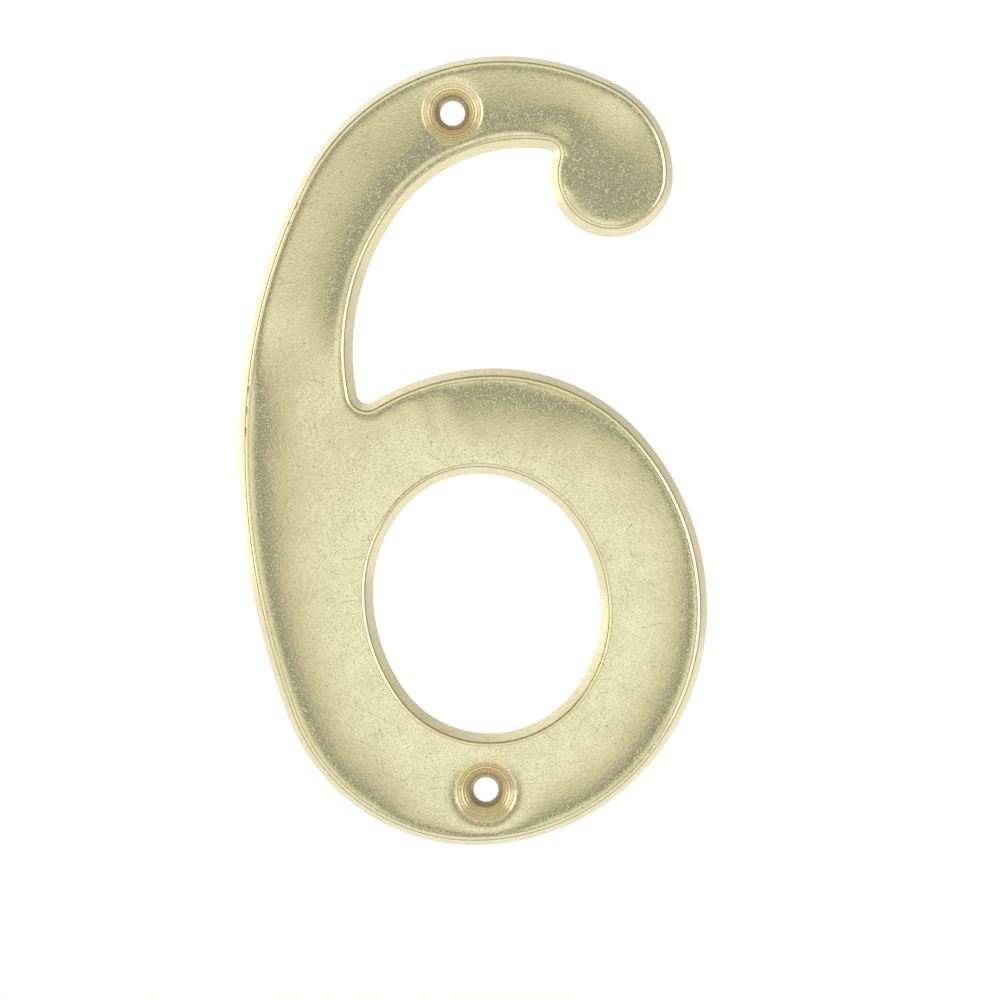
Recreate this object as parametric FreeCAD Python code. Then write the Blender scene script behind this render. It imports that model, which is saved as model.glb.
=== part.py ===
# Door number "6": one brass casting, screwed flat against a door through two countersunk holes.
# The numeral stands in the XZ plane. Its flat back lies on Y = 0 and its polished face looks
# along -Y. The origin is on the back, midway between the two screw holes.

import FreeCAD, Part
import math
import os

Vector = FreeCAD.Vector

# Outline of the back, where the numeral is widest, in millimetres.
# X is measured from the leftmost point of the spine and Z from the lowest point of the bowl.
HEIGHT = 101.9
WIDTH = 60.5
TOP_X = 34.1                       # place of the highest point of the hook
SPINE_Z = 51.5                     # height of the leftmost point
FOOT_X = 30.4                      # place of the lowest point
BOWL_SIDE_Z = 30.5                 # height of the rightmost point of the bowl
BOWL_TOP_X = 32.9                  # place of the highest point of the bowl
BOWL_HEIGHT = 61.7
SHOULDER_RADIUS = 30.0             # bowl from its highest point down to the stem
CROTCH_RADIUS = 1.4                # where the bowl meets the stem
STEM_WIDTH = 14.7                  # spine to the inside of the stem
STEM_INSIDE_RISE = 2.2             # from the top of the bowl to where this inside is upright
HOOK_INSIDE_X = 36.9               # place of the highest point of the inside of the hook
HOOK_STROKE = 11.8                 # width of the stroke at the top of the hook
NOTCH_RADIUS = 0.9                 # where the hook runs into its ball
BALL_RADIUS = 7.9
BALL_X = 48.1                      # centre of the ball
BALL_DROP = 15.4                   # centre of the ball, below the top of the hook

# Width of the bowl's stroke at the four extremes of the counter, and where those extremes lie.
STROKE_OVER_COUNTER = 13.6
STROKE_RIGHT_OF_COUNTER = 13.7
STROKE_UNDER_COUNTER = 14.5
STROKE_LEFT_OF_COUNTER = 17.3
COUNTER_TOP_X = 30.9
COUNTER_RIGHT_Z = 30.1
COUNTER_BOTTOM_X = 32.3
COUNTER_LEFT_Z = 32.8

# Section of the casting.
THICKNESS = 4.0
DRAFT_ANGLE = 14.4                 # lean of the walls, so that the casting leaves its mould
EDGE_ROLL_RADIUS = 0.6             # edge of the face, rounded on the polishing wheel
CROWN_WIDTH = 3.0                  # how far from the wall the face starts to fall away
CROWN_RADIUS = 34.0                # curve of the face where it falls away

# Screw holes: a countersink, a cored taper below it and a short plain hole at the back.
UPPER_HOLE_X = 27.6
LOWER_HOLE_X = 31.9
COUNTERSINK_DIAMETER = 8.0
COUNTERSINK_ANGLE = 90.0
CORE_DIAMETER = 4.4                # mouth of the taper, where the countersink ends
SCREW_HOLE_DIAMETER = 3.2
SCREW_HOLE_LENGTH = 0.9
TOOL_CLEARANCE = 1.0               # how far the drills run past the face and the back

# Headings in the XZ plane.
RIGHT, UP, LEFT, DOWN = (math.radians(degrees) for degrees in (0, 90, 180, 270))
FULL_TURN = math.radians(360)
SEWING_TOLERANCE = 0.001


class OutlineArc:
    """One arc of an outline, from its first to its last angle, with the metal on its left."""

    def __init__(self, centre, radius, first, last):
        self.centre = centre
        self.radius = radius
        self.first = first
        self.last = last

    def bulges(self):
        """True where the metal is inside the arc, false where the arc is hollow."""
        return self.last > self.first

    def point(self, angle, inset=0.0):
        """The point at an angle, moved into the metal by an inset."""
        reach = self.radius - inset if self.bulges() else self.radius + inset
        return (self.centre[0] + reach * math.cos(angle), self.centre[1] + reach * math.sin(angle))

    def edge(self, inset, y):
        """The arc as an edge in the plane at y."""
        angles = (self.first, (self.first + self.last) / 2, self.last)
        points = [self.point(angle, inset) for angle in angles]
        return Part.Arc(*[Vector(x, y, z) for x, z in points]).toShape()


def arc_from_tangent(start, heading, end):
    """The arc that leaves start along a heading and passes through end."""
    dx, dz = end[0] - start[0], end[1] - start[1]
    sideways = (-math.sin(heading), math.cos(heading))
    offset = (dx * dx + dz * dz) / (2 * (dx * sideways[0] + dz * sideways[1]))
    centre = (start[0] + offset * sideways[0], start[1] + offset * sideways[1])
    first = math.atan2(start[1] - centre[1], start[0] - centre[0])
    last = math.atan2(end[1] - centre[1], end[0] - centre[0])
    if offset > 0 and last < first:
        last += FULL_TURN
    if offset < 0 and last > first:
        last -= FULL_TURN
    return OutlineArc(centre, abs(offset), first, last)


def arc_pair(start, heading, end, end_heading):
    """Two arcs from start to end, tangent to both headings and to each other."""
    along = (math.cos(heading), math.sin(heading))
    onward = (math.cos(end_heading), math.sin(end_heading))
    dx, dz = end[0] - start[0], end[1] - start[1]
    forward = dx * (along[0] + onward[0]) + dz * (along[1] + onward[1])
    bend = 2 * (1 - along[0] * onward[0] - along[1] * onward[1])
    reach = (math.sqrt(forward ** 2 + bend * (dx * dx + dz * dz)) - forward) / bend
    joint = ((start[0] + reach * along[0] + end[0] - reach * onward[0]) / 2,
             (start[1] + reach * along[1] + end[1] - reach * onward[1]) / 2)
    first = arc_from_tangent(start, heading, joint)
    joint_heading = heading + first.last - first.first
    return [first, arc_from_tangent(joint, joint_heading, end)]


def rounded_corner(before, after, radius):
    """The arc that rounds the hollow corner between two arcs, which are trimmed to it."""
    reaches = [arc.radius + radius if arc.bulges() else arc.radius - radius for arc in (before, after)]
    dx, dz = after.centre[0] - before.centre[0], after.centre[1] - before.centre[1]
    apart = math.hypot(dx, dz)
    along = (apart ** 2 + reaches[0] ** 2 - reaches[1] ** 2) / (2 * apart)
    aside = math.sqrt(reaches[0] ** 2 - along ** 2)
    centres = [(before.centre[0] + (along * dx - side * dz) / apart,
                before.centre[1] + (along * dz + side * dx) / apart) for side in (aside, -aside)]
    centre = min(centres, key=lambda option: math.dist(option, before.point(before.last)))
    before.last = nearest_turn(direction(before.centre, centre), before.last)
    after.first = nearest_turn(direction(after.centre, centre), after.first)
    first = direction(centre, before.point(before.last))
    last = direction(centre, after.point(after.first))
    if last > first:
        last -= FULL_TURN
    return OutlineArc(centre, radius, first, last)


def direction(start, end):
    """The angle of the line from start to end."""
    return math.atan2(end[1] - start[1], end[0] - start[0])


def nearest_turn(angle, wanted):
    """The angle with as many full turns added as bring it nearest to the wanted one."""
    return angle + FULL_TURN * round((wanted - angle) / FULL_TURN)


def numeral_outline():
    """The outer outline: over the hook, down the spine, round the bowl and up inside the hook."""
    top = (TOP_X, HEIGHT)
    spine = (0.0, SPINE_Z)
    foot = (FOOT_X, 0.0)
    bowl_side = (WIDTH, BOWL_SIDE_Z)
    bowl_top = (BOWL_TOP_X, BOWL_HEIGHT)
    stem_inside = (STEM_WIDTH, BOWL_HEIGHT + STEM_INSIDE_RISE)
    hook_inside = (HOOK_INSIDE_X, HEIGHT - HOOK_STROKE)
    ball_centre = (BALL_X, HEIGHT - BALL_DROP)
    ball_side = (BALL_X + BALL_RADIUS, ball_centre[1])
    outside = arc_pair(ball_side, UP, top, LEFT) + arc_pair(top, LEFT, spine, DOWN)
    outside += arc_pair(spine, DOWN, foot, RIGHT) + arc_pair(foot, RIGHT, bowl_side, UP)
    outside += arc_pair(bowl_side, UP, bowl_top, LEFT)
    shoulder_centre = (BOWL_TOP_X, BOWL_HEIGHT - SHOULDER_RADIUS)
    stem_angle = math.acos((STEM_WIDTH - shoulder_centre[0]) / SHOULDER_RADIUS)
    shoulder = OutlineArc(shoulder_centre, SHOULDER_RADIUS, UP, stem_angle)
    inside = arc_pair(stem_inside, UP, hook_inside, RIGHT)
    ball = OutlineArc(ball_centre, BALL_RADIUS, LEFT, FULL_TURN)
    crotch = rounded_corner(shoulder, inside[0], CROTCH_RADIUS)
    notch = rounded_corner(inside[-1], ball, NOTCH_RADIUS)
    return outside + [shoulder, crotch] + inside + [notch, ball]


def counter_outline():
    """The outline of the counter, run clockwise so that the metal is on its left."""
    top = (COUNTER_TOP_X, BOWL_HEIGHT - STROKE_OVER_COUNTER)
    right = (WIDTH - STROKE_RIGHT_OF_COUNTER, COUNTER_RIGHT_Z)
    bottom = (COUNTER_BOTTOM_X, STROKE_UNDER_COUNTER)
    left = (STROKE_LEFT_OF_COUNTER, COUNTER_LEFT_Z)
    stops = [(top, RIGHT), (right, DOWN), (bottom, LEFT), (left, UP)]
    arcs = []
    for (start, heading), (end, end_heading) in zip(stops, stops[1:] + stops[:1]):
        arcs += arc_pair(start, heading, end, end_heading)
    return arcs


def edge_section():
    """The section of every edge of the casting, as (inset, y) points.

    It runs from the back up the leaning wall, round the rolled edge and along the crown
    to the flat of the face. It gives the wall's two ends, the middle of the roll, the end
    of the roll, the middle of the crown and the end of the crown.
    """
    lean = math.radians(DRAFT_ANGLE)
    wall_way = (math.sin(lean), -math.cos(lean))
    into_metal = (math.cos(lean), math.sin(lean))
    face_inset = THICKNESS * math.tan(lean) + CROWN_WIDTH
    crown_centre = (face_inset, CROWN_RADIUS - THICKNESS)
    # The roll touches the wall from inside, and the crown's circle from inside.
    start = (EDGE_ROLL_RADIUS * into_metal[0] - crown_centre[0],
             EDGE_ROLL_RADIUS * into_metal[1] - crown_centre[1])
    half = start[0] * wall_way[0] + start[1] * wall_way[1]
    gap = start[0] ** 2 + start[1] ** 2 - (CROWN_RADIUS - EDGE_ROLL_RADIUS) ** 2
    climb = -half + math.sqrt(half * half - gap)
    roll_centre = (EDGE_ROLL_RADIUS * into_metal[0] + climb * wall_way[0],
                   EDGE_ROLL_RADIUS * into_metal[1] + climb * wall_way[1])
    wall_end = (climb * wall_way[0], climb * wall_way[1])
    crown_angle = direction(crown_centre, roll_centre)
    wall_angle = direction(roll_centre, wall_end)

    def on_circle(centre, radius, angle):
        return (centre[0] + radius * math.cos(angle), centre[1] + radius * math.sin(angle))

    roll_middle = on_circle(roll_centre, EDGE_ROLL_RADIUS,
                            (crown_angle + nearest_turn(wall_angle, crown_angle)) / 2)
    roll_end = on_circle(crown_centre, CROWN_RADIUS, crown_angle)
    crown_middle = on_circle(crown_centre, CROWN_RADIUS, (crown_angle - UP) / 2)
    crown_end = on_circle(crown_centre, CROWN_RADIUS, -UP)
    return [(0.0, 0.0), wall_end, roll_middle, roll_end, crown_middle, crown_end]


def edge_faces(arcs, section):
    """The wall, the rolled edge and the crown along an outline, turned about each arc's centre."""
    faces = []
    for arc in arcs:
        points = []
        for inset, y in section:
            x, z = arc.point(arc.first, inset)
            points.append(Vector(x, y, z))
        profile = [Part.makeLine(points[0], points[1]),
                   Part.Arc(points[1], points[2], points[3]).toShape(),
                   Part.Arc(points[3], points[4], points[5]).toShape()]
        axis = Vector(arc.centre[0], 0, arc.centre[1])
        turn = -math.degrees(arc.last - arc.first)
        faces += [line.revolve(axis, Vector(0, 1, 0), turn) for line in profile]
    return faces


def flat_face(outlines, inset, y):
    """A flat of the casting at y, between the outer outline and the counter, both moved inwards."""
    wires = [Part.Wire([arc.edge(inset, y) for arc in arcs]) for arcs in outlines]
    return Part.Face(wires, "Part::FaceMakerBullseye")


def casting_blank(outer, counter):
    """The casting before it is drilled."""
    section = edge_section()
    faces = edge_faces(outer, section) + edge_faces(counter, section)
    faces.append(flat_face((outer, counter), 0.0, 0.0))
    faces.append(flat_face((outer, counter), *section[-1]))
    shell = Part.Shell(faces)
    shell.sewShape(SEWING_TOLERANCE)
    return Part.Solid(shell)


def heights_at(arcs, x):
    """The heights at which an outline crosses the upright line at x, lowest first."""
    heights = []
    for arc in arcs:
        cosine = (x - arc.centre[0]) / arc.radius
        if abs(cosine) >= 1:
            continue
        low, high = sorted((arc.first, arc.last))
        for angle in (math.acos(cosine), -math.acos(cosine)):
            angle += FULL_TURN * math.ceil((low - angle) / FULL_TURN)
            if angle < high:
                heights.append(arc.point(angle)[1])
    return sorted(heights)


def hole_cutter(x, z):
    """The drill that leaves a countersink, the cored taper under it and the screw hole."""
    sink_radius = COUNTERSINK_DIAMETER / 2
    core_radius = CORE_DIAMETER / 2
    screw_radius = SCREW_HOLE_DIAMETER / 2
    flare = math.tan(math.radians(COUNTERSINK_ANGLE / 2))
    sink_depth = (sink_radius - core_radius) / flare
    section = [(0.0, -THICKNESS - TOOL_CLEARANCE),
               (sink_radius + TOOL_CLEARANCE * flare, -THICKNESS - TOOL_CLEARANCE),
               (core_radius, -THICKNESS + sink_depth),
               (screw_radius, -SCREW_HOLE_LENGTH),
               (screw_radius, TOOL_CLEARANCE),
               (0.0, TOOL_CLEARANCE)]
    points = [Vector(x + radius, y, z) for radius, y in section]
    profile = Part.Face(Part.makePolygon(points + points[:1]))
    return profile.revolve(Vector(x, 0, z), Vector(0, 1, 0), 360)


outer = numeral_outline()
counter = counter_outline()
casting = casting_blank(outer, counter)

# Each screw hole is drilled through the middle of its stroke.
hook_heights = heights_at(outer, UPPER_HOLE_X)
upper_hole = (UPPER_HOLE_X, (hook_heights[-1] + hook_heights[-2]) / 2)
foot_heights = (heights_at(outer, LOWER_HOLE_X)[0], heights_at(counter, LOWER_HOLE_X)[0])
lower_hole = (LOWER_HOLE_X, sum(foot_heights) / 2)
for x, z in (upper_hole, lower_hole):
    casting = casting.cut(hole_cutter(x, z))

# The origin goes midway between the holes.
middle = [(high + low) / 2 for high, low in zip(upper_hole, lower_hole)]
casting.translate(Vector(-middle[0], 0, -middle[1]))
os.makedirs("parts", exist_ok=True)
casting.Solids[0].exportStep("parts/numeral_six.step")

print("solids", len(casting.Solids), "valid", casting.isValid(), "volume", round(casting.Volume, 1))
print("screw holes apart", round(math.dist(upper_hole, lower_hole), 3))
print("box", casting.BoundBox)
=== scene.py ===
import bmesh
import bpy
import math
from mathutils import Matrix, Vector, noise
from mathutils.bvhtree import BVHTree


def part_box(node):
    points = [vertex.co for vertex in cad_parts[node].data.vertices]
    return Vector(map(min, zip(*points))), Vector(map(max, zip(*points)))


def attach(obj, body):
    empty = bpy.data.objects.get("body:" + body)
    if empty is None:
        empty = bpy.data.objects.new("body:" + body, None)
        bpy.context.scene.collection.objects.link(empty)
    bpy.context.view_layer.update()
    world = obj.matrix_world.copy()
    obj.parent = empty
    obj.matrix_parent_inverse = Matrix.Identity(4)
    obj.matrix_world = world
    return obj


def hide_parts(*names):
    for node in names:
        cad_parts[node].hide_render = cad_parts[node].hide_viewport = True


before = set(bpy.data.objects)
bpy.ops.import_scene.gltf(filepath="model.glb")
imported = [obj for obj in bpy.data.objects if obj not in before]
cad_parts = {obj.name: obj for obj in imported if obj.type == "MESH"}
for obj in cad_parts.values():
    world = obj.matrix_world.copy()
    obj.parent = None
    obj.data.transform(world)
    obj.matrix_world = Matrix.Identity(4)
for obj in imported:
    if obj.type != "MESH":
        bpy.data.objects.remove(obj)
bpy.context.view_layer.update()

# The casting: one brass numeral with leaning walls. It stands upright with its face towards -Y, and
# its flat back lies on Y = 0. Each part of its skin is sorted here by how the real one is finished:
# buffed in front, drilled in the holes, and left as cast on the walls and the back.
millimetre = 0.001
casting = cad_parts["numeral_six"]
low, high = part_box("numeral_six")
thickness = high.y - low.y
rim_height = thickness - 0.1 * millimetre
roll_foot = 0.8 * thickness
hole_centres = [Vector((-2.15, 43.6)) * millimetre, Vector((2.15, -43.6)) * millimetre]
drill_radius = 4.05 * millimetre
cone_foot = 2.2 * millimetre
height_error = 0.004 * millimetre
flat_error = 0.0005 * millimetre
weld = 0.0005 * millimetre
face_finish, wall_finish, drill_finish, bore_finish, back_finish, painted_shade_line, flat_mark = range(7)


def height_of(corner):
    """How far a point stands in front of the back."""
    return high.y - corner.co.y


def heights_of(part):
    """The heights of all the points of a part."""
    return [height_of(corner) for corner in part.verts]


def across(point):
    """A point's place in the plane of the face."""
    return Vector((point.x, point.z))


shell = bmesh.new()
shell.from_mesh(casting.data)
bmesh.ops.remove_doubles(shell, verts=shell.verts, dist=weld)
shell.verts.index_update()
rolls = []
for part in shell.faces:
    lowest, highest = min(heights_of(part)), max(heights_of(part))
    middle = across(part.calc_center_median())
    in_hole = min((middle - centre).length for centre in hole_centres) < drill_radius
    if highest < height_error:
        part.material_index = back_finish
    elif in_hole and highest < cone_foot + height_error:
        part.material_index = bore_finish
    elif in_hole and lowest < rim_height:
        part.material_index = drill_finish
    elif lowest > thickness - flat_error:
        part.material_index = flat_mark
    elif lowest > rim_height - height_error:
        part.material_index = face_finish
    elif lowest > roll_foot:
        part.material_index = face_finish
        rolls.append(part)
    else:
        part.material_index = wall_finish

# The rolled edges: every edge of the brass face is rounded over by the buffing wheel. The solid's
# mesh spans the roll with long triangles in some places, and they are divided here into the rows
# that it has elsewhere.
wall_end = thickness - 0.549 * millimetre
roll_centre = thickness - 0.698 * millimetre
roll_radius = 0.6 * millimetre
counter_centre = Vector((2.3, -19.6)) * millimetre
counter_reach = Vector((18.0, 20.5)) * millimetre
bend_centre = Vector((12.0, 8.0)) * millimetre
bend_radius = 36.0 * millimetre
crotch_height = 11.0 * millimetre
crotch_foot = 0.6 * crotch_height
crotch_side = -12.5 * millimetre
hook_end = 11.5 * millimetre


def side_of(place):
    """Which edge a place belongs to: the counter's, the inner one of the hook, or the outer one."""
    from_counter = place - counter_centre
    if math.hypot(from_counter.x / counter_reach.x, from_counter.y / counter_reach.y) < 1:
        return "counter"
    above_crotch = place.y > crotch_height or (place.x < crotch_side and place.y > crotch_foot)
    if above_crotch and (place - bend_centre).length < bend_radius and place.x < hook_end:
        return "hook"
    return "outer"


def roll_turn(height):
    """How far a rolled edge has turned away from the face at a height."""
    return math.acos(min(max((height - roll_centre) / roll_radius, 0), 1))


def roll_reach(height):
    """How far a rolled edge stands out at a height."""
    return roll_radius * math.sin(roll_turn(height))


def outward_of(*corners):
    """The way out of the metal at some points, in the plane of the face."""
    return Vector((sum(corner.normal.x for corner in corners), 0,
                   sum(corner.normal.z for corner in corners))).normalized()


def cut_through(chosen, point, direction):
    """Cuts the chosen parts along a plane, and gives them back with the new ones."""
    corners = {corner for part in chosen for corner in part.verts}
    edges = {edge for part in chosen for edge in part.edges}
    done = bmesh.ops.bisect_plane(shell, geom=[*corners, *edges, *chosen], dist=2 * weld,
                                  plane_co=point, plane_no=direction)
    return [part for part in done["geom"] if isinstance(part, bmesh.types.BMFace)]


rolled = {"counter": [], "hook": [], "outer": []}
for part in rolls:
    rolled[side_of(across(part.calc_center_median()))].append([corner.index for corner in part.verts])
corners = [corner.co.copy() for corner in shell.verts]
edges_found = {name: BVHTree.FromPolygons(corners, parts) for name, parts in rolled.items()}

row_heights = sorted({round(height_of(corner) / millimetre, 3) * millimetre for corner in shell.verts
                      if wall_end + height_error < height_of(corner) < rim_height - height_error})
for edge in list(shell.edges):
    bottom, top = sorted(edge.verts, key=height_of)
    lower, upper = height_of(bottom), height_of(top)
    on_roll = lower >= wall_end - height_error and upper <= rim_height + height_error
    if not on_roll or any(part.material_index != face_finish for part in edge.link_faces):
        continue
    start, span, outward = bottom.co.copy(), top.co - bottom.co, outward_of(bottom, top)
    for row_height in row_heights:
        if lower + height_error < row_height < upper - height_error:
            along = (row_height - lower) / (upper - lower)
            straight = roll_reach(lower) + along * (roll_reach(upper) - roll_reach(lower))
            _, corner = bmesh.utils.edge_split(edge, bottom, 0.5)
            corner.co = start + along * span + outward * (roll_reach(row_height) - straight)
            edge = next(other for other in corner.link_edges if top in other.verts)
            bottom = corner
for row_height in row_heights:
    crossing = [part for part in shell.faces if part.material_index == face_finish
                and wall_end - height_error < min(heights_of(part)) < row_height - height_error
                and max(heights_of(part)) > row_height + height_error]
    cut_through(crossing, Vector((0, high.y - row_height, 0)), Vector((0, 1, 0)))

# The divided face: polished brass shows every point that the wear moves, so the crown inside the
# rolled edges gets closer rows, and the flat middle is cut into a grid of small parts. The grid is
# finer round the screw holes.
crown_rows = ((rim_height, 2), (thickness - 0.0445 * millimetre, 1))
flat_angle = math.radians(4.0)
cell = 0.8 * millimetre
dish_reach = 5.8 * millimetre
dish_cell = 0.3 * millimetre
dish_rows = 19


def is_on_face(part):
    """Whether a part belongs to the worn face inside the rolled edges."""
    inside = min(heights_of(part)) > rim_height - height_error
    return inside and part.material_index in (face_finish, flat_mark)


for row_height, halvings in crown_rows:
    for _ in range(halvings):
        rising = []
        for edge in shell.edges:
            lower, upper = sorted(height_of(end) for end in edge.verts)
            if abs(lower - row_height) < height_error < upper - row_height:
                rising.append(edge)
        bmesh.ops.subdivide_edges(shell, edges=rising, cuts=1)
flat_edges, flat_corners = [
    [item for item in items if {part.material_index for part in item.link_faces} == {flat_mark}]
    for items in (shell.edges, shell.verts)]
bmesh.ops.dissolve_limit(shell, angle_limit=flat_angle, verts=flat_corners, edges=flat_edges)
for way, start, end in ((Vector((1, 0, 0)), low.x, high.x), (Vector((0, 0, 1)), low.z, high.z)):
    rows = int((end - start) / cell)
    flat = [part for part in shell.faces if part.material_index == flat_mark]
    for row in range(1, rows):
        flat = cut_through(flat, way * (start + row * (end - start) / rows), way)
for centre in hole_centres:
    for way, middle in ((Vector((1, 0, 0)), centre.x), (Vector((0, 0, 1)), centre.y)):
        near = [part for part in shell.faces if is_on_face(part)
                and min((across(corner.co) - centre).length for corner in part.verts) < dish_reach]
        for row in range(-dish_rows, dish_rows + 1):
            near = cut_through(near, way * (middle + dish_cell * (row + 0.5)), way)

# The wear: the soft wheel took brass off beside the outer edge of the bowl, towards the counter and
# round the mouths of the holes. It left a lip under the hook and a swell in the ball at its end, and
# the whole face waves a little.
face_level = thickness - 0.352 * millimetre
wear_round_bowl = (
    (-180, 0.135, 3.2), (-150, 0.135, 3.3), (-125, 0.12, 3.6), (-108, 0.06, 3.4), (-88, 0.06, 3.2),
    (-70, 0.13, 3.2), (-30, 0.14, 3.0), (0, 0.115, 3.0), (20, 0.06, 3.2), (45, 0.06, 4.0),
    (60, 0.09, 4.4), (76, 0.125, 4.8), (92, 0.12, 4.8), (104, 0.05, 4.4), (112, 0.015, 4.0),
    (124, 0.01, 3.2), (133, 0.06, 3.2), (143, 0.12, 3.4), (155, 0.135, 3.2), (180, 0.135, 3.2))
stem_start = 8.0 * millimetre
stem_end = 19.0 * millimetre
shoulder_rise = 0.1 * millimetre
shoulder_width = 3.5 * millimetre
lip_height = 0.33 * millimetre
lip_width = 2.2 * millimetre
crest_depth = 0.09 * millimetre
crest_width = 0.5 * millimetre
crest_start = 6.5 * millimetre
crest_end = 11.0 * millimetre
rounding_depth = 0.06 * millimetre
rounding_width = 0.3 * millimetre
counter_fall = 0.13 * millimetre
counter_width = 4.0 * millimetre
ball_swells = ((Vector((17.5, 27.5)) * millimetre, 0.26 * millimetre, 5.5 * millimetre),
               (Vector((19.0, 40.5)) * millimetre, -0.17 * millimetre, 4.6 * millimetre))
dishes = ((hole_centres[0], 0.03 * millimetre, 0.4 * millimetre, 0.0),
          (hole_centres[1], 0.22 * millimetre, 0.9 * millimetre, 0.75))
wave_height = 0.02 * millimetre
wave_length = 8.0 * millimetre
probe = 0.05 * millimetre


def smooth_step(value, start, end):
    """0 at start and 1 at end, with a smooth passage between them."""
    share = min(max((value - start) / (end - start), 0.0), 1.0)
    return share * share * (3 - 2 * share)


def distance_to(name, place):
    """How far a place on the face is from one of its rolled edges."""
    point = Vector((place.x, high.y - rim_height, place.y))
    return (edges_found[name].find_nearest(point)[0] - point).length


def worn_off(place, from_edge):
    """How deep the wheel wore the bowl beside its outer edge. For angles round the bowl, in
    degrees, the table holds the slope at the edge and how many millimetres wide the wear is."""
    degrees = math.degrees(math.atan2(place.y - counter_centre.y, place.x - counter_centre.x))
    for (before, *low_wear), (after, *high_wear) in zip(wear_round_bowl, wear_round_bowl[1:]):
        if degrees <= after:
            share = smooth_step(degrees, before, after)
            slope, width = [one + (other - one) * share for one, other in zip(low_wear, high_wear)]
            return slope * width * millimetre * math.exp(-from_edge / (width * millimetre))
    return 0.0


def worn_height(place):
    """The height of the buffed face."""
    on_hook = smooth_step(place.y, stem_start, stem_end)
    along_hook = 1 - smooth_step(place.x, crest_start, crest_end)
    from_outer, from_hook = distance_to("outer", place), distance_to("hook", place)
    height = face_level - worn_off(place, from_outer) * (1 - on_hook)
    height += shoulder_rise * on_hook * math.exp(-from_outer / shoulder_width)
    height += lip_height * on_hook * math.exp(-from_hook / lip_width)
    height -= crest_depth * on_hook * along_hook * math.exp(-from_hook / crest_width)
    height -= rounding_depth * math.exp(-min(from_outer, from_hook) / rounding_width)
    height -= counter_fall * math.exp(-distance_to("counter", place) / counter_width)
    for centre, rise, spread in ball_swells:
        height += rise * math.exp(-((place - centre).length / spread) ** 2 / 2)
    for centre, depth, width, lean in dishes:
        reach = (place - centre).length
        depth *= (1 - lean * (place.y - centre.y) / reach) / (1 + lean)
        height -= depth * math.exp(-max(reach - drill_radius, 0) / width)
    return height + wave_height * noise.noise(Vector((place.x, place.y, 0)) / wave_length)


# The worn casting: the wear is put on the divided copy, which takes the place of the plain solid. A
# darker band is painted along the rolled edges, a painted shade line that stands for the dark line the
# rolls reflect. Long thin parts would break up what polished brass reflects, so the face, the rolls and
# the drilled cones look out as their true shapes do.
# The painted shade line: the parts of the rolls between these two heights get darker brass. It is painted
# where the rolled edge reflects a dark line.
painted_line_start = thickness - 0.52 * millimetre
painted_line_end = thickness - 0.26 * millimetre
cone_lean = math.radians(45.8)
crease_angle = math.radians(25.0)


def face_normal(corner):
    """The way the buffed face looks out at a point."""
    place, aside, upward = across(corner.co), Vector((probe, 0)), Vector((0, probe))
    rise_x = worn_height(place + aside) - worn_height(place - aside)
    rise_z = worn_height(place + upward) - worn_height(place - upward)
    return Vector((-rise_x, -2 * probe, -rise_z)).normalized()


def roll_normal(corner):
    """The way a rolled edge looks out at a point."""
    turn = roll_turn(height_of(corner))
    return outward_of(corner) * math.sin(turn) - Vector((0, math.cos(turn), 0))


def cone_normal(corner):
    """The way the cone of a screw hole looks out at a point."""
    place = across(corner.co)
    inward = min((centre - place for centre in hole_centres), key=lambda reach: reach.length).normalized()
    return Vector((inward.x * math.sin(cone_lean), -math.cos(cone_lean), inward.y * math.sin(cone_lean)))


shell.normal_update()
shell.verts.index_update()
true_normals = {"face": face_normal, "roll": roll_normal, "cone": cone_normal}
normals = {"face": {}, "roll": {}, "cone": {}, "other": {}}
kinds = []
for part in shell.faces:
    part.smooth = True
    kind = "other"
    if is_on_face(part):
        kind = "face"
        part.material_index = face_finish
    elif part.material_index == face_finish:
        kind = "roll"
        # Roll parts in this band of heights take the painted shade line, darker brass that stands for a
        # dark reflection.
        if painted_line_start < sum(heights_of(part)) / len(part.verts) < painted_line_end:
            part.material_index = painted_shade_line
    elif part.material_index == drill_finish:
        kind = "cone"
    kinds.append(kind)
    for corner in part.verts:
        if kind != "other" and corner.index not in normals[kind]:
            normals[kind][corner.index] = true_normals[kind](corner)
for corner in shell.verts:
    new_height = worn_height(across(corner.co))
    if height_of(corner) < rim_height - height_error:
        new_height *= height_of(corner) / rim_height
    corner.co.y = high.y - new_height
for edge in shell.edges:
    edge.smooth = edge.calc_face_angle(math.pi) < crease_angle
from_shape = Vector((0, 0, 0))
corner_normals = [normals[kind].get(corner.index, from_shape)
                  for part, kind in zip(shell.faces, kinds) for corner in part.verts]

mesh = bpy.data.meshes.new("numeral")
shell.to_mesh(mesh)
shell.free()
mesh.normals_split_custom_set(corner_normals)
numeral = bpy.data.objects.new("numeral", mesh)
bpy.context.scene.collection.objects.link(numeral)
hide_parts("numeral_six")
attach(numeral, "root")

# The brass: one pale yellow metal under lacquer. A fine grain, hairline scratches and casting pits
# lie all over it, and each part of the skin shows them as strongly as its own finish leaves them.
# Every pattern is drawn in the numeral's own coordinates.
fine_grain = {"turn": 35, "stretch": 1.8, "scale": 5200, "detail": 2.0}
peel_grain = {"turn": -35, "stretch": 1.5, "scale": 2400, "detail": 1.0, "distortion": 0.2}
cloud_grain = {"turn": 0, "stretch": 1.0, "scale": 350, "detail": 4.0}
speck_grain = {"turn": 15, "stretch": 1.2, "scale": 6200, "detail": 0.0}
peel_share = 0.45
cloud_share = 0.35
speck_edges = (0.56, 0.72)
scratch_ways = ((28, 3.1), (-52, 7.7), (75, 12.4), (-8, 17.9))
scratch_line = {"stretch": 17.0, "scale": 5200, "detail": 0.0, "distortion": 0.15}
scratch_patch = {"stretch": 1.0, "scale": 160, "detail": 1.0}
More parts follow.
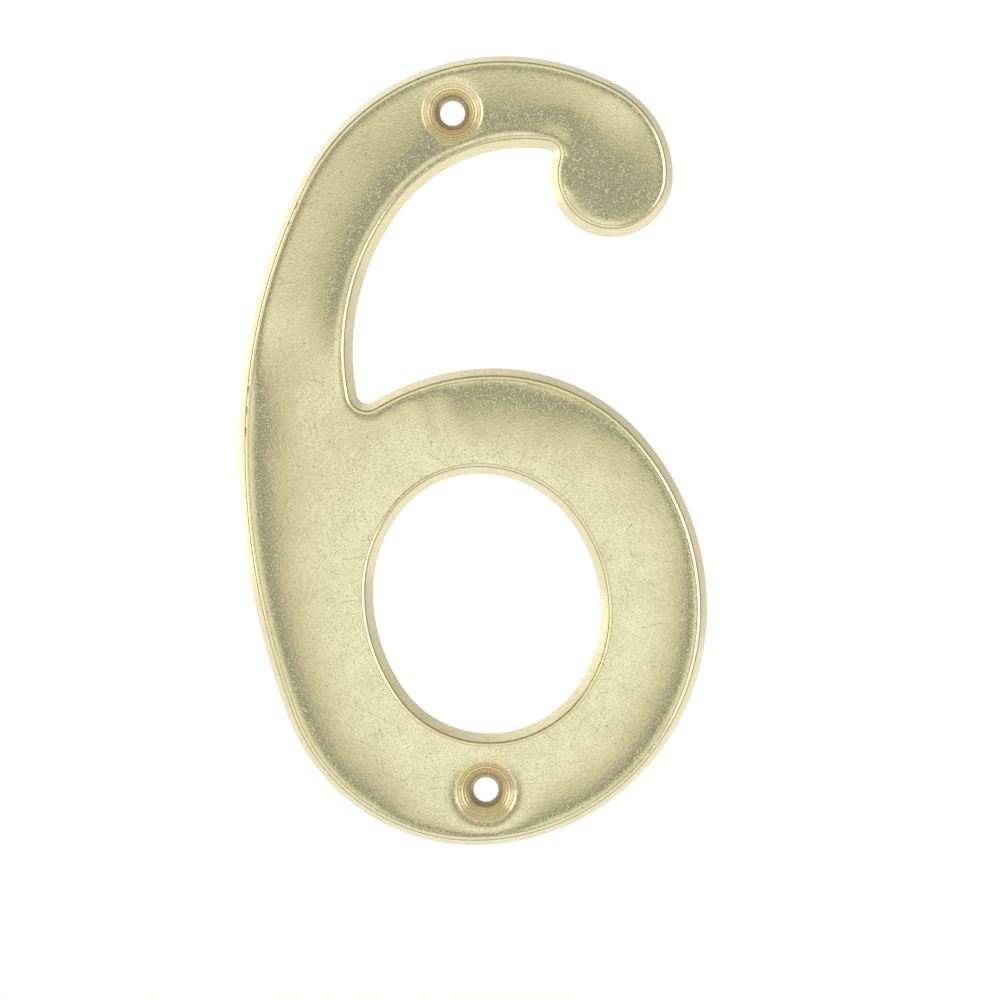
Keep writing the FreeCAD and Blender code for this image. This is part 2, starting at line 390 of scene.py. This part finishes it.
line_edges = (0.79, 0.83)
patch_edges = (0.5, 0.56)
pit_sizes = ((260, 0.05), (620, 0.1), (1100, 0.12))
pit_edges = (0.0, 0.012)
ring_scale = 2600
tone_edges = (0.4, 0.68)
tone_darkness = 0.24
pit_darkness = 0.9
scratch_darkness = 0.3
tone_roughness = 0.12
speck_roughness = 0.28
pit_depth = 2.0
scratch_depth = 0.3


def plug_in(tree, slot, value):
    """Gives a node's input a socket or a plain value."""
    if isinstance(value, bpy.types.NodeSocket):
        tree.links.new(value, slot)
    else:
        slot.default_value = value


def maths(tree, operation, *values, clamp=False):
    """A maths node on sockets or numbers."""
    node = tree.nodes.new("ShaderNodeMath")
    node.operation = operation
    node.use_clamp = clamp
    for slot, value in zip(node.inputs, values):
        plug_in(tree, slot, value)
    return node.outputs[0]


def vector_maths(tree, operation, *values, output="Vector"):
    """A vector maths node on sockets or vectors."""
    node = tree.nodes.new("ShaderNodeVectorMath")
    node.operation = operation
    for slot, value in zip(node.inputs, values):
        plug_in(tree, slot, value)
    return node.outputs[output]


def colour_mix(tree, share, first, second):
    """A mix of two colours."""
    node = tree.nodes.new("ShaderNodeMix")
    node.data_type = "RGBA"
    for name, value in (("Factor", share), ("A", first), ("B", second)):
        plug_in(tree, node.inputs[name], value)
    return node.outputs["Result"]


def between(tree, value, start, end, first=0.0, last=1.0):
    """Passes smoothly from the first value at start to the last one at end."""
    ranged = tree.nodes.new("ShaderNodeMapRange")
    ranged.interpolation_type = "SMOOTHSTEP"
    for name, number in (("From Min", start), ("From Max", end), ("To Min", first), ("To Max", last)):
        ranged.inputs[name].default_value = number
    tree.links.new(value, ranged.inputs["Value"])
    return ranged.outputs["Result"]


def drawn_noise(tree, place, turn, stretch, scale, detail, distortion=0.0):
    """Noise drawn out along one direction of the face."""
    laid = tree.nodes.new("ShaderNodeMapping")
    laid.vector_type = "TEXTURE"
    laid.inputs["Rotation"].default_value = (0, math.radians(turn), 0)
    laid.inputs["Scale"].default_value = (stretch, 1, 1)
    pattern = tree.nodes.new("ShaderNodeTexNoise")
    pattern.inputs["Scale"].default_value = scale
    pattern.inputs["Detail"].default_value = detail
    pattern.inputs["Distortion"].default_value = distortion
    tree.links.new(place, laid.inputs["Vector"])
    tree.links.new(laid.outputs["Vector"], pattern.inputs["Vector"])
    return pattern.outputs["Fac"]


def new_group(name, *outputs):
    """A node group that reads a place and puts out numbers."""
    group = bpy.data.node_groups.new(name, "ShaderNodeTree")
    group.interface.new_socket("Place", in_out="INPUT", socket_type="NodeSocketVector")
    for socket in outputs:
        group.interface.new_socket(socket, in_out="OUTPUT", socket_type="NodeSocketFloat")
    return group, group.nodes.new("NodeGroupInput").outputs["Place"], group.nodes.new("NodeGroupOutput")


grain_group, grain_place, grain_out = new_group("brass grain", "Height", "Tone", "Specks")
fine, peel, cloud, speck = [drawn_noise(grain_group, grain_place, **pattern)
                            for pattern in (fine_grain, peel_grain, cloud_grain, speck_grain)]
height = maths(grain_group, "ADD", fine, maths(grain_group, "MULTIPLY", peel, peel_share))
tone = maths(grain_group, "ADD", maths(grain_group, "MULTIPLY", fine, 1 - cloud_share),
             maths(grain_group, "MULTIPLY", cloud, cloud_share))
grain_group.links.new(height, grain_out.inputs["Height"])
grain_group.links.new(tone, grain_out.inputs["Tone"])
grain_group.links.new(between(grain_group, speck, *speck_edges), grain_out.inputs["Specks"])

scratch_group, scratch_place, scratch_out = new_group("hairline scratches", "Mask")
scratches = 0.0
for turn, seed in scratch_ways:
    shifted = vector_maths(scratch_group, "ADD", scratch_place, (seed, seed, seed))
    line = drawn_noise(scratch_group, shifted, turn, **scratch_line)
    patch = drawn_noise(scratch_group, shifted, turn, **scratch_patch)
    shown = maths(scratch_group, "MULTIPLY", between(scratch_group, line, *line_edges),
                  between(scratch_group, patch, *patch_edges))
    scratches = maths(scratch_group, "MAXIMUM", scratches, shown)
scratch_group.links.new(scratches, scratch_out.inputs["Mask"])

pit_group, pit_place, pit_out = new_group("casting pits", "Mask")
pits = 0.0
for scale, size in pit_sizes:
    cells = pit_group.nodes.new("ShaderNodeTexVoronoi")
    cells.inputs["Scale"].default_value = scale
    pit_group.links.new(pit_place, cells.inputs["Vector"])
    grey = pit_group.nodes.new("ShaderNodeSeparateColor")
    pit_group.links.new(cells.outputs["Color"], grey.inputs["Color"])
    pit_reach = maths(pit_group, "MULTIPLY", grey.outputs["Red"], size)
    inside = maths(pit_group, "SUBTRACT", pit_reach, cells.outputs["Distance"])
    pits = maths(pit_group, "MAXIMUM", pits, between(pit_group, inside, *pit_edges))
pit_group.links.new(pits, pit_out.inputs["Mask"])


def pattern_of(group, tree, place):
    """What a node group puts out in a material, on the material's own pattern coordinates."""
    node = tree.nodes.new("ShaderNodeGroup")
    node.node_tree = group
    tree.links.new(place, node.inputs["Place"])
    return node.outputs


def drill_rings(tree, place):
    """The fine rings that the drill turned round the middle of each hole."""
    from_middles = []
    for centre in hole_centres:
        centred = tree.nodes.new("ShaderNodeMapping")
        centred.inputs["Location"].default_value = (-centre.x, 0, -centre.y)
        centred.inputs["Scale"].default_value = (1, 0, 1)
        tree.links.new(place, centred.inputs["Vector"])
        from_middles.append(vector_maths(tree, "LENGTH", centred.outputs["Vector"], output="Value"))
    rings = tree.nodes.new("ShaderNodeTexNoise")
    rings.noise_dimensions = "1D"
    rings.inputs["Scale"].default_value = ring_scale
    rings.inputs["Detail"].default_value = 2.0
    tree.links.new(maths(tree, "MINIMUM", *from_middles), rings.inputs["W"])
    return rings.outputs["Fac"]


def brass_finish(name, colour, dull_colour, roughness, grain_depth, marks, ring_depth):
    """Lacquered brass. Marks says how strongly scratches and pits show, the grain is so many
    millimetres deep, and the rings of the drill are so many times deeper than the grain."""
    finish = bpy.data.materials.new(name)
    finish.use_nodes = True
    tree = finish.node_tree
    shader = tree.nodes["Principled BSDF"]
    shader.inputs["Metallic"].default_value = 1.0
    place = tree.nodes.new("ShaderNodeTexCoord").outputs["Object"]
    grain = pattern_of(grain_group, tree, place)
    scratch = pattern_of(scratch_group, tree, place)["Mask"]
    pit = pattern_of(pit_group, tree, place)["Mask"]

    dull_marks = maths(tree, "MAXIMUM", maths(tree, "MULTIPLY", pit, pit_darkness * marks),
                       maths(tree, "MULTIPLY", scratch, scratch_darkness * marks))
    dull_tone = maths(tree, "MULTIPLY", between(tree, grain["Tone"], *tone_edges), tone_darkness)
    dull = maths(tree, "ADD", dull_marks, dull_tone, clamp=True)
    tree.links.new(colour_mix(tree, dull, (*colour, 1), (*dull_colour, 1)), shader.inputs["Base Color"])

    rough = maths(tree, "ADD", maths(tree, "MULTIPLY", grain["Tone"], tone_roughness),
                  roughness - tone_roughness / 2)
    rough = maths(tree, "ADD", rough, maths(tree, "MULTIPLY", grain["Specks"], speck_roughness))
    tree.links.new(rough, shader.inputs["Roughness"])

    relief = maths(tree, "SUBTRACT", grain["Height"],
                   maths(tree, "MULTIPLY", scratch, scratch_depth * marks))
    relief = maths(tree, "SUBTRACT", relief, maths(tree, "MULTIPLY", pit, pit_depth * marks))
    if ring_depth:
        relief = maths(tree, "ADD", relief, maths(tree, "MULTIPLY", drill_rings(tree, place), ring_depth))
    bump = tree.nodes.new("ShaderNodeBump")
    bump.inputs["Distance"].default_value = grain_depth * millimetre
    tree.links.new(relief, bump.inputs["Height"])
    tree.links.new(bump.outputs["Normal"], shader.inputs["Normal"])
    return finish


# The last finish is the painted shade line: darker brass on a band of the rolls, standing for the dark
# line that they reflect.
for finish in (
        ("buffed brass", (0.82, 0.78, 0.51), (0.40, 0.38, 0.22), 0.13, 0.0085, 1.0, 0.0),
        ("cast brass", (0.84, 0.75, 0.45), (0.5, 0.42, 0.25), 0.25, 0.002, 0.3, 0.0),
        ("drilled brass", (0.90, 0.82, 0.57), (0.5, 0.4, 0.2), 0.12, 0.006, 0.0, 10.0),
        ("rough brass", (0.56, 0.46, 0.30), (0.28, 0.22, 0.13), 0.4, 0.004, 0.5, 0.0),
        ("sand cast brass", (0.66, 0.56, 0.32), (0.4, 0.33, 0.18), 0.5, 0.03, 0.6, 0.0),
        ("brass with painted shade line", (0.50, 0.43, 0.23), (0.2, 0.16, 0.08), 0.3, 0.006, 1.0, 0.0)):
    mesh.materials.append(brass_finish(*finish))

# The floor: a pale matt board under the numeral. It is no part of the object, and it lies a little
# lower, so that the numeral hangs free in the room.
floor_half = 0.3
floor_middle = 0.23
floor_gap = 0.03
board = bmesh.new()
bmesh.ops.create_grid(board, x_segments=1, y_segments=1, size=floor_half)
bmesh.ops.translate(board, verts=board.verts, vec=(0, floor_middle, low.z - floor_gap))
floor_mesh = bpy.data.meshes.new("floor")
board.to_mesh(floor_mesh)
board.free()
floor = bpy.data.objects.new("floor", floor_mesh)
bpy.context.scene.collection.objects.link(floor)
floor_paint = bpy.data.materials.new("floor paint")
floor_paint.use_nodes = True
paint = floor_paint.node_tree.nodes["Principled BSDF"].inputs
paint["Base Color"].default_value = (0.985, 0.985, 0.985, 1)
paint["Specular IOR Level"].default_value = 0.0
paint["Roughness"].default_value = 1.0
floor_mesh.materials.append(floor_paint)

# The studio: a white room with a soft box on the right. What the brass reflects is a bright window
# round the camera with a dim ring about it, bright windows at both sides, a dark corner low on the
# right, and a wall behind the numeral that is paler on the left and below.
window_side = math.radians(0.2)
window_rise = math.radians(-4.0)
window_way = Vector((math.sin(window_side), -1, math.sin(window_rise))).normalized()
half_turn = 180
room = ((0, (1.13, 1.13, 1.17)), (3.6, (1.13, 1.13, 1.17)), (4.8, (1.00, 0.98, 0.94)),
        (6.2, (0.90, 0.85, 0.73)), (7.6, (0.80, 0.75, 0.63)), (9.0, (0.68, 0.645, 0.56)),
        (10.6, (0.46, 0.45, 0.42)), (12.2, (0.35, 0.35, 0.34)), (15.5, (0.32, 0.32, 0.31)),
        (21, (0.8, 0.77, 0.63)), (27, (1.0, 0.97, 0.86)), (55, (1.0, 1.0, 0.98)),
        (70, (0.62, 0.58, 0.47)), (98, (0.62, 0.58, 0.47)), (106, (0.4, 0.38, 0.3)),
        (134, (0.4, 0.38, 0.3)), (142, (1.0, 1.0, 1.0)))
right_window = (0.75, 0.93, 0.0, 0.8)
left_window = (-0.93, -0.75, 1.3, 0.0)
side_window_ends = ((62, 72, 0.0, 1.0), (97, 103, 1.0, 0.0))
dark_corner_way = Vector((0.62, -0.45, -0.64)).normalized()
dark_corner = (0.8, 0.93, 1.0, 0.25)
wall_behind_start = (0.65, 0.8)
wall_behind_across = (-0.45, 0.45, 1.35, 0.75)
wall_behind_upward = (-0.3, 0.45, 1.25, 0.88)
room_light = (1.02, 1.02, 1.02, 1)

world = bpy.data.worlds.new("studio")
bpy.context.scene.world = world
world.use_nodes = True
studio = world.node_tree
way = studio.nodes.new("ShaderNodeTexCoord").outputs["Generated"]
split = studio.nodes.new("ShaderNodeSeparateXYZ")
studio.links.new(way, split.inputs["Vector"])
rightward, backward, upward = (split.outputs[name] for name in "XYZ")

to_window = vector_maths(studio, "DOT_PRODUCT", way, window_way, output="Value")
from_window = maths(studio, "DIVIDE", maths(studio, "ARCCOSINE", to_window), math.pi)
ramp = studio.nodes.new("ShaderNodeValToRGB")
studio.links.new(from_window, ramp.inputs["Fac"])
while len(ramp.color_ramp.elements) < len(room):
    ramp.color_ramp.elements.new(0.5)
for element, (degrees, colour) in zip(ramp.color_ramp.elements, room):
    element.position = degrees / half_turn
    element.color = (*colour, 1)

side_windows = maths(studio, "ADD", between(studio, rightward, *right_window),
                     between(studio, rightward, *left_window))
for start, end, first, last in side_window_ends:
    window_end = between(studio, from_window, start / half_turn, end / half_turn, first, last)
    side_windows = maths(studio, "MULTIPLY", side_windows, window_end)
to_corner = vector_maths(studio, "DOT_PRODUCT", way, dark_corner_way, output="Value")
lit_front = vector_maths(studio, "ADD", ramp.outputs["Color"], side_windows)
front = vector_maths(studio, "MULTIPLY", lit_front, between(studio, to_corner, *dark_corner))
wall_behind = maths(studio, "MULTIPLY", between(studio, rightward, *wall_behind_across),
                    between(studio, upward, *wall_behind_upward))
whole_room = colour_mix(studio, between(studio, backward, *wall_behind_start), front, wall_behind)
reflected = studio.nodes.new("ShaderNodeLightPath").outputs["Is Glossy Ray"]
studio.links.new(colour_mix(studio, reflected, room_light, whole_room),
                 studio.nodes["Background"].inputs["Color"])

soft_box_light = bpy.data.lights.new("soft box", "AREA")
soft_box_light.shape = "RECTANGLE"
soft_box_light.size = 0.5
soft_box_light.size_y = 1.0
soft_box_light.energy = 3.0
soft_box = bpy.data.objects.new("soft box", soft_box_light)
soft_box.location = (0.8, -0.7, 0.0)
soft_box.rotation_euler = Vector(soft_box.location).to_track_quat("Z", "Y").to_euler()
bpy.context.scene.collection.objects.link(soft_box)

# The camera: it looks almost straight at the face, from a little above the middle. What it sees is
# 129.2 mm wide where it aims.
distance = 0.512
elevation = math.radians(1.37)
aim = Vector((0.00397, 0, -0.00619))
view_width = 0.1292
camera_data = bpy.data.cameras.new("camera")
camera_data.sensor_width = 36.0
camera_data.lens = camera_data.sensor_width * distance / view_width
camera_data.clip_start = 0.01
camera = bpy.data.objects.new("camera", camera_data)
camera.location = aim + Vector((0, -distance * math.cos(elevation), distance * math.sin(elevation)))
camera.rotation_euler = (math.pi / 2 - elevation, 0, 0)
bpy.context.scene.collection.objects.link(camera)
bpy.context.scene.camera = camera
bpy.context.scene.view_settings.view_transform = "Standard"
